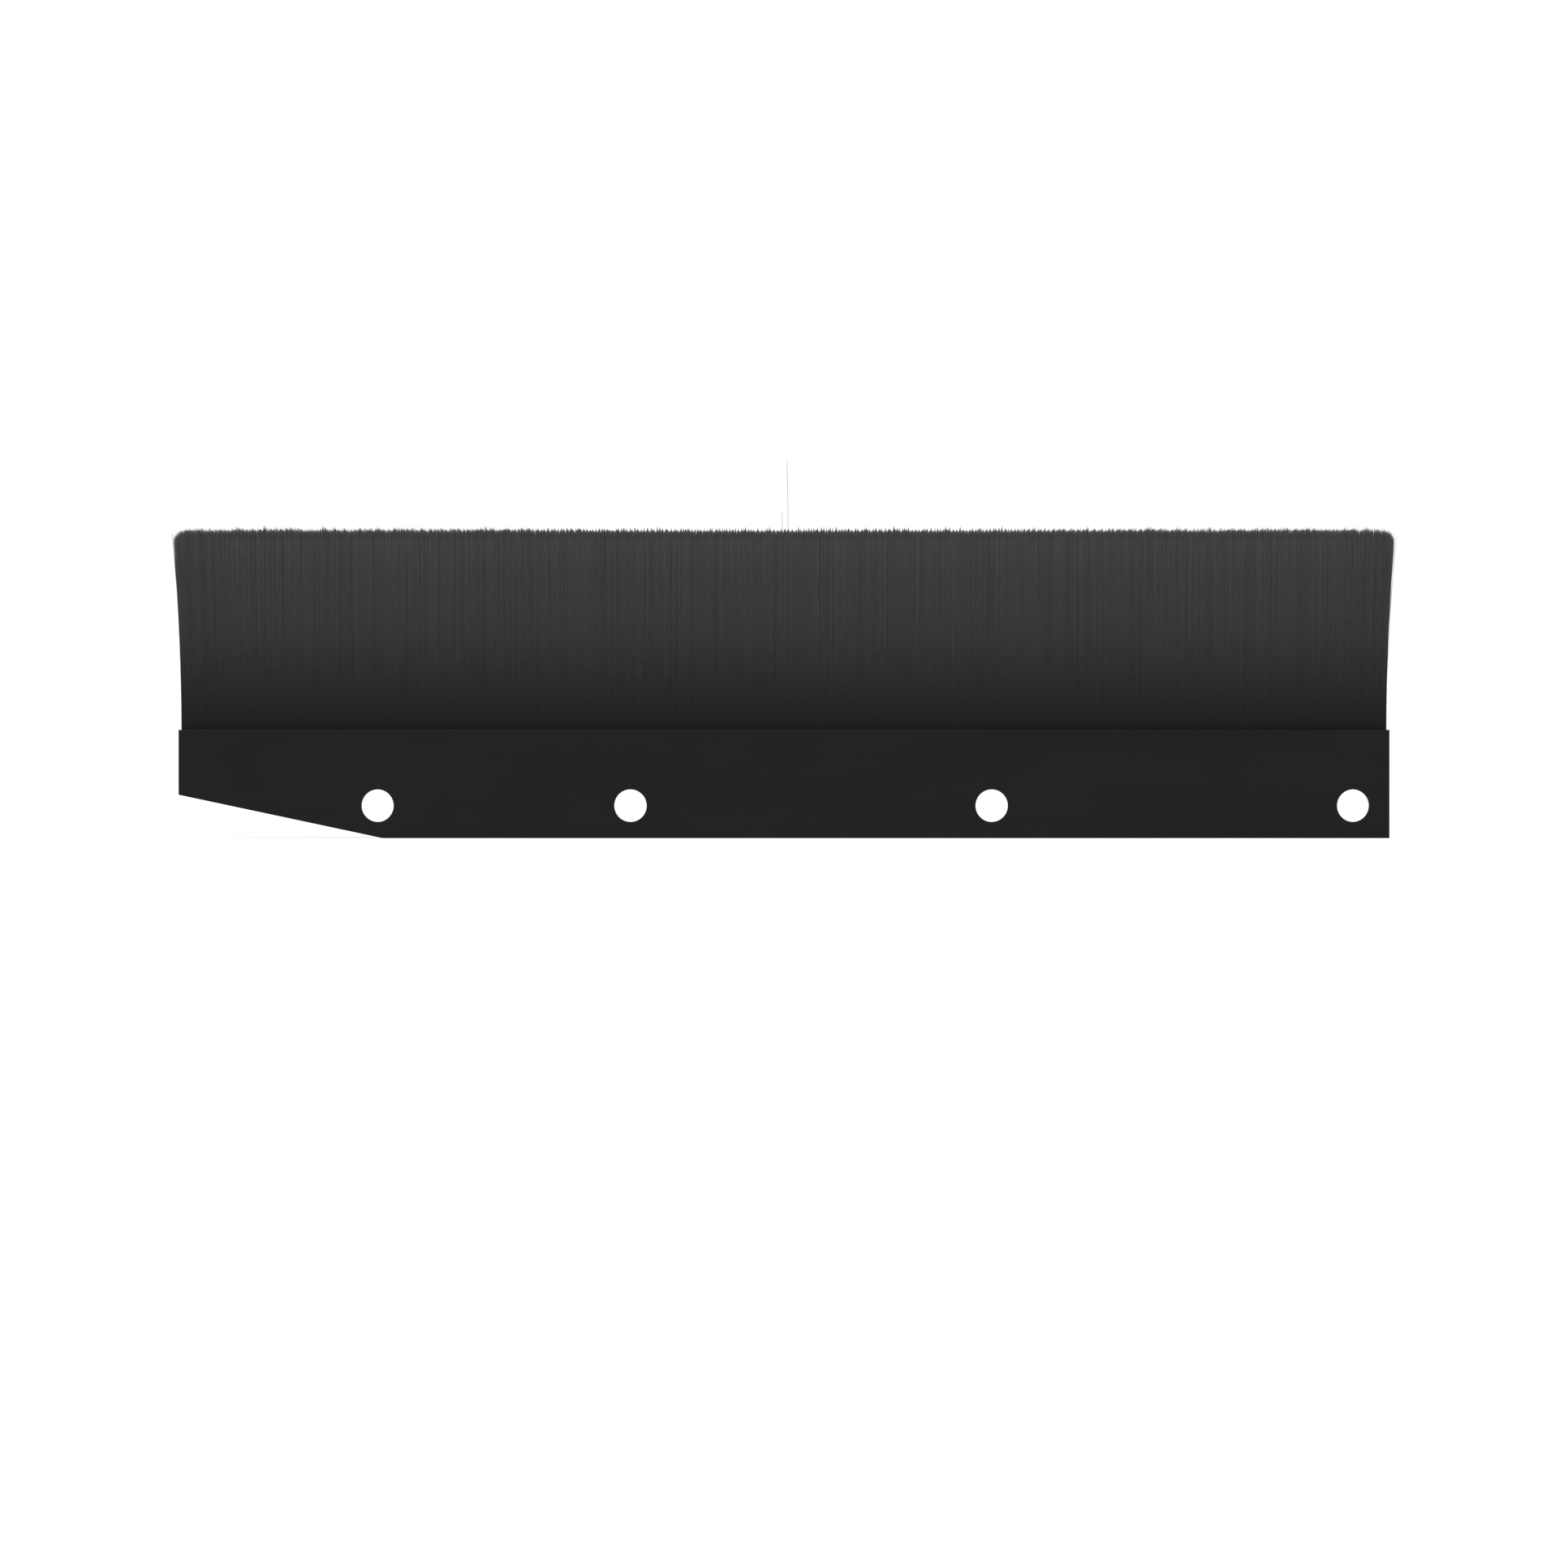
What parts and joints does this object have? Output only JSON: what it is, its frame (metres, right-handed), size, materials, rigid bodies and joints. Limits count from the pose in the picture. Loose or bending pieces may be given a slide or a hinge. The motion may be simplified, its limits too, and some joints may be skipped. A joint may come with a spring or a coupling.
{
  "type": "strip brush",
  "caption": "Long black strip brush: a slim bevelled aluminium rail, drilled for bolts, holding one straight row of stiff nylon filaments that bend front to back.",
  "frame": {"origin": "on the rail's flat mounting face, on the line of the bolt holes, halfway along the rail", "axes": "+X along the rail, +Z from the bolt holes towards the filament tips, -Y out of the mounting face"},
  "size_m": [0.3386, 0.009, 0.1052],
  "materials": {
    "black_anodised": "matte",
    "galvanised_steel": "satin",
    "steel_wire": "satin",
    "packed_nylon": "satin",
    "nylon_bristle": "matte",
    "nylon_filament": "satin"
  },
  "bodies": {
    "brush_holder": {"rail": "black_anodised", "strip_channel": "galvanised_steel", "core_wire": "steel_wire", "fill_root": "packed_nylon"},
    "bundle_01": {"bundle_01": "nylon_bristle"},
    "bundle_02": {"bundle_02": "nylon_bristle"},
    "bundle_03": {"bundle_03": "nylon_bristle"},
    "bundle_04": {"bundle_04": "nylon_bristle"},
    "bundle_05": {"bundle_05": "nylon_bristle"},
    "bundle_06": {"bundle_06": "nylon_bristle"},
    "bundle_07": {"bundle_07": "nylon_bristle"},
    "bundle_08": {"bundle_08": "nylon_bristle"},
    "bundle_09": {"bundle_09": "nylon_bristle"},
    "bundle_10": {"bundle_10": "nylon_bristle"},
    "bundle_11": {"bundle_11": "nylon_bristle"},
    "bundle_12": {"bundle_12": "nylon_bristle", "overlong_filament_tall": "nylon_filament", "overlong_filament_short": "nylon_filament"},
    "bundle_13": {"bundle_13": "nylon_bristle"},
    "bundle_14": {"bundle_14": "nylon_bristle"},
    "bundle_15": {"bundle_15": "nylon_bristle"},
    "bundle_16": {"bundle_16": "nylon_bristle"},
    "bundle_17": {"bundle_17": "nylon_bristle"},
    "bundle_18": {"bundle_18": "nylon_bristle"},
    "bundle_19": {"bundle_19": "nylon_bristle"},
    "bundle_20": {"bundle_20": "nylon_bristle"},
    "bundle_21": {"bundle_21": "nylon_bristle"},
    "bundle_22": {"bundle_22": "nylon_bristle"},
    "bundle_23": {"bundle_23": "nylon_bristle"}
  },
  "joints": [
    {"name": "bend_01", "type": "hinge", "parent": "brush_holder", "child": "bundle_01", "pos_m": [-0.15983, 0.0046, 0.022], "axis": [1, 0, 0], "range_deg": [-45, 45], "stiffness_Nm_per_rad": 0.004},
    {"name": "bend_02", "type": "hinge", "parent": "brush_holder", "child": "bundle_02", "pos_m": [-0.1453, 0.0046, 0.022], "axis": [1, 0, 0], "range_deg": [-45, 45], "stiffness_Nm_per_rad": 0.004},
    {"name": "bend_03", "type": "hinge", "parent": "brush_holder", "child": "bundle_03", "pos_m": [-0.13077, 0.0046, 0.022], "axis": [1, 0, 0], "range_deg": [-45, 45], "stiffness_Nm_per_rad": 0.004},
    {"name": "bend_04", "type": "hinge", "parent": "brush_holder", "child": "bundle_04", "pos_m": [-0.11624, 0.0046, 0.022], "axis": [1, 0, 0], "range_deg": [-45, 45], "stiffness_Nm_per_rad": 0.004},
    {"name": "bend_05", "type": "hinge", "parent": "brush_holder", "child": "bundle_05", "pos_m": [-0.10171, 0.0046, 0.022], "axis": [1, 0, 0], "range_deg": [-45, 45], "stiffness_Nm_per_rad": 0.004},
    {"name": "bend_06", "type": "hinge", "parent": "brush_holder", "child": "bundle_06", "pos_m": [-0.08718, 0.0046, 0.022], "axis": [1, 0, 0], "range_deg": [-45, 45], "stiffness_Nm_per_rad": 0.004},
    {"name": "bend_07", "type": "hinge", "parent": "brush_holder", "child": "bundle_07", "pos_m": [-0.07265, 0.0046, 0.022], "axis": [1, 0, 0], "range_deg": [-45, 45], "stiffness_Nm_per_rad": 0.004},
    {"name": "bend_08", "type": "hinge", "parent": "brush_holder", "child": "bundle_08", "pos_m": [-0.05812, 0.0046, 0.022], "axis": [1, 0, 0], "range_deg": [-45, 45], "stiffness_Nm_per_rad": 0.004},
    {"name": "bend_09", "type": "hinge", "parent": "brush_holder", "child": "bundle_09", "pos_m": [-0.04359, 0.0046, 0.022], "axis": [1, 0, 0], "range_deg": [-45, 45], "stiffness_Nm_per_rad": 0.004},
    {"name": "bend_10", "type": "hinge", "parent": "brush_holder", "child": "bundle_10", "pos_m": [-0.02906, 0.0046, 0.022], "axis": [1, 0, 0], "range_deg": [-45, 45], "stiffness_Nm_per_rad": 0.004},
    {"name": "bend_11", "type": "hinge", "parent": "brush_holder", "child": "bundle_11", "pos_m": [-0.01453, 0.0046, 0.022], "axis": [1, 0, 0], "range_deg": [-45, 45], "stiffness_Nm_per_rad": 0.004},
    {"name": "bend_12", "type": "hinge", "parent": "brush_holder", "child": "bundle_12", "pos_m": [0, 0.0046, 0.022], "axis": [1, 0, 0], "range_deg": [-45, 45], "stiffness_Nm_per_rad": 0.004},
    {"name": "bend_13", "type": "hinge", "parent": "brush_holder", "child": "bundle_13", "pos_m": [0.01453, 0.0046, 0.022], "axis": [1, 0, 0], "range_deg": [-45, 45], "stiffness_Nm_per_rad": 0.004},
    {"name": "bend_14", "type": "hinge", "parent": "brush_holder", "child": "bundle_14", "pos_m": [0.02906, 0.0046, 0.022], "axis": [1, 0, 0], "range_deg": [-45, 45], "stiffness_Nm_per_rad": 0.004},
    {"name": "bend_15", "type": "hinge", "parent": "brush_holder", "child": "bundle_15", "pos_m": [0.04359, 0.0046, 0.022], "axis": [1, 0, 0], "range_deg": [-45, 45], "stiffness_Nm_per_rad": 0.004},
    {"name": "bend_16", "type": "hinge", "parent": "brush_holder", "child": "bundle_16", "pos_m": [0.05812, 0.0046, 0.022], "axis": [1, 0, 0], "range_deg": [-45, 45], "stiffness_Nm_per_rad": 0.004},
    {"name": "bend_17", "type": "hinge", "parent": "brush_holder", "child": "bundle_17", "pos_m": [0.07265, 0.0046, 0.022], "axis": [1, 0, 0], "range_deg": [-45, 45], "stiffness_Nm_per_rad": 0.004},
    {"name": "bend_18", "type": "hinge", "parent": "brush_holder", "child": "bundle_18", "pos_m": [0.08718, 0.0046, 0.022], "axis": [1, 0, 0], "range_deg": [-45, 45], "stiffness_Nm_per_rad": 0.004},
    {"name": "bend_19", "type": "hinge", "parent": "brush_holder", "child": "bundle_19", "pos_m": [0.10171, 0.0046, 0.022], "axis": [1, 0, 0], "range_deg": [-45, 45], "stiffness_Nm_per_rad": 0.004},
    {"name": "bend_20", "type": "hinge", "parent": "brush_holder", "child": "bundle_20", "pos_m": [0.11624, 0.0046, 0.022], "axis": [1, 0, 0], "range_deg": [-45, 45], "stiffness_Nm_per_rad": 0.004},
    {"name": "bend_21", "type": "hinge", "parent": "brush_holder", "child": "bundle_21", "pos_m": [0.13077, 0.0046, 0.022], "axis": [1, 0, 0], "range_deg": [-45, 45], "stiffness_Nm_per_rad": 0.004},
    {"name": "bend_22", "type": "hinge", "parent": "brush_holder", "child": "bundle_22", "pos_m": [0.1453, 0.0046, 0.022], "axis": [1, 0, 0], "range_deg": [-45, 45], "stiffness_Nm_per_rad": 0.004},
    {"name": "bend_23", "type": "hinge", "parent": "brush_holder", "child": "bundle_23", "pos_m": [0.15983, 0.0046, 0.022], "axis": [1, 0, 0], "range_deg": [-45, 45], "stiffness_Nm_per_rad": 0.004}
  ]
}
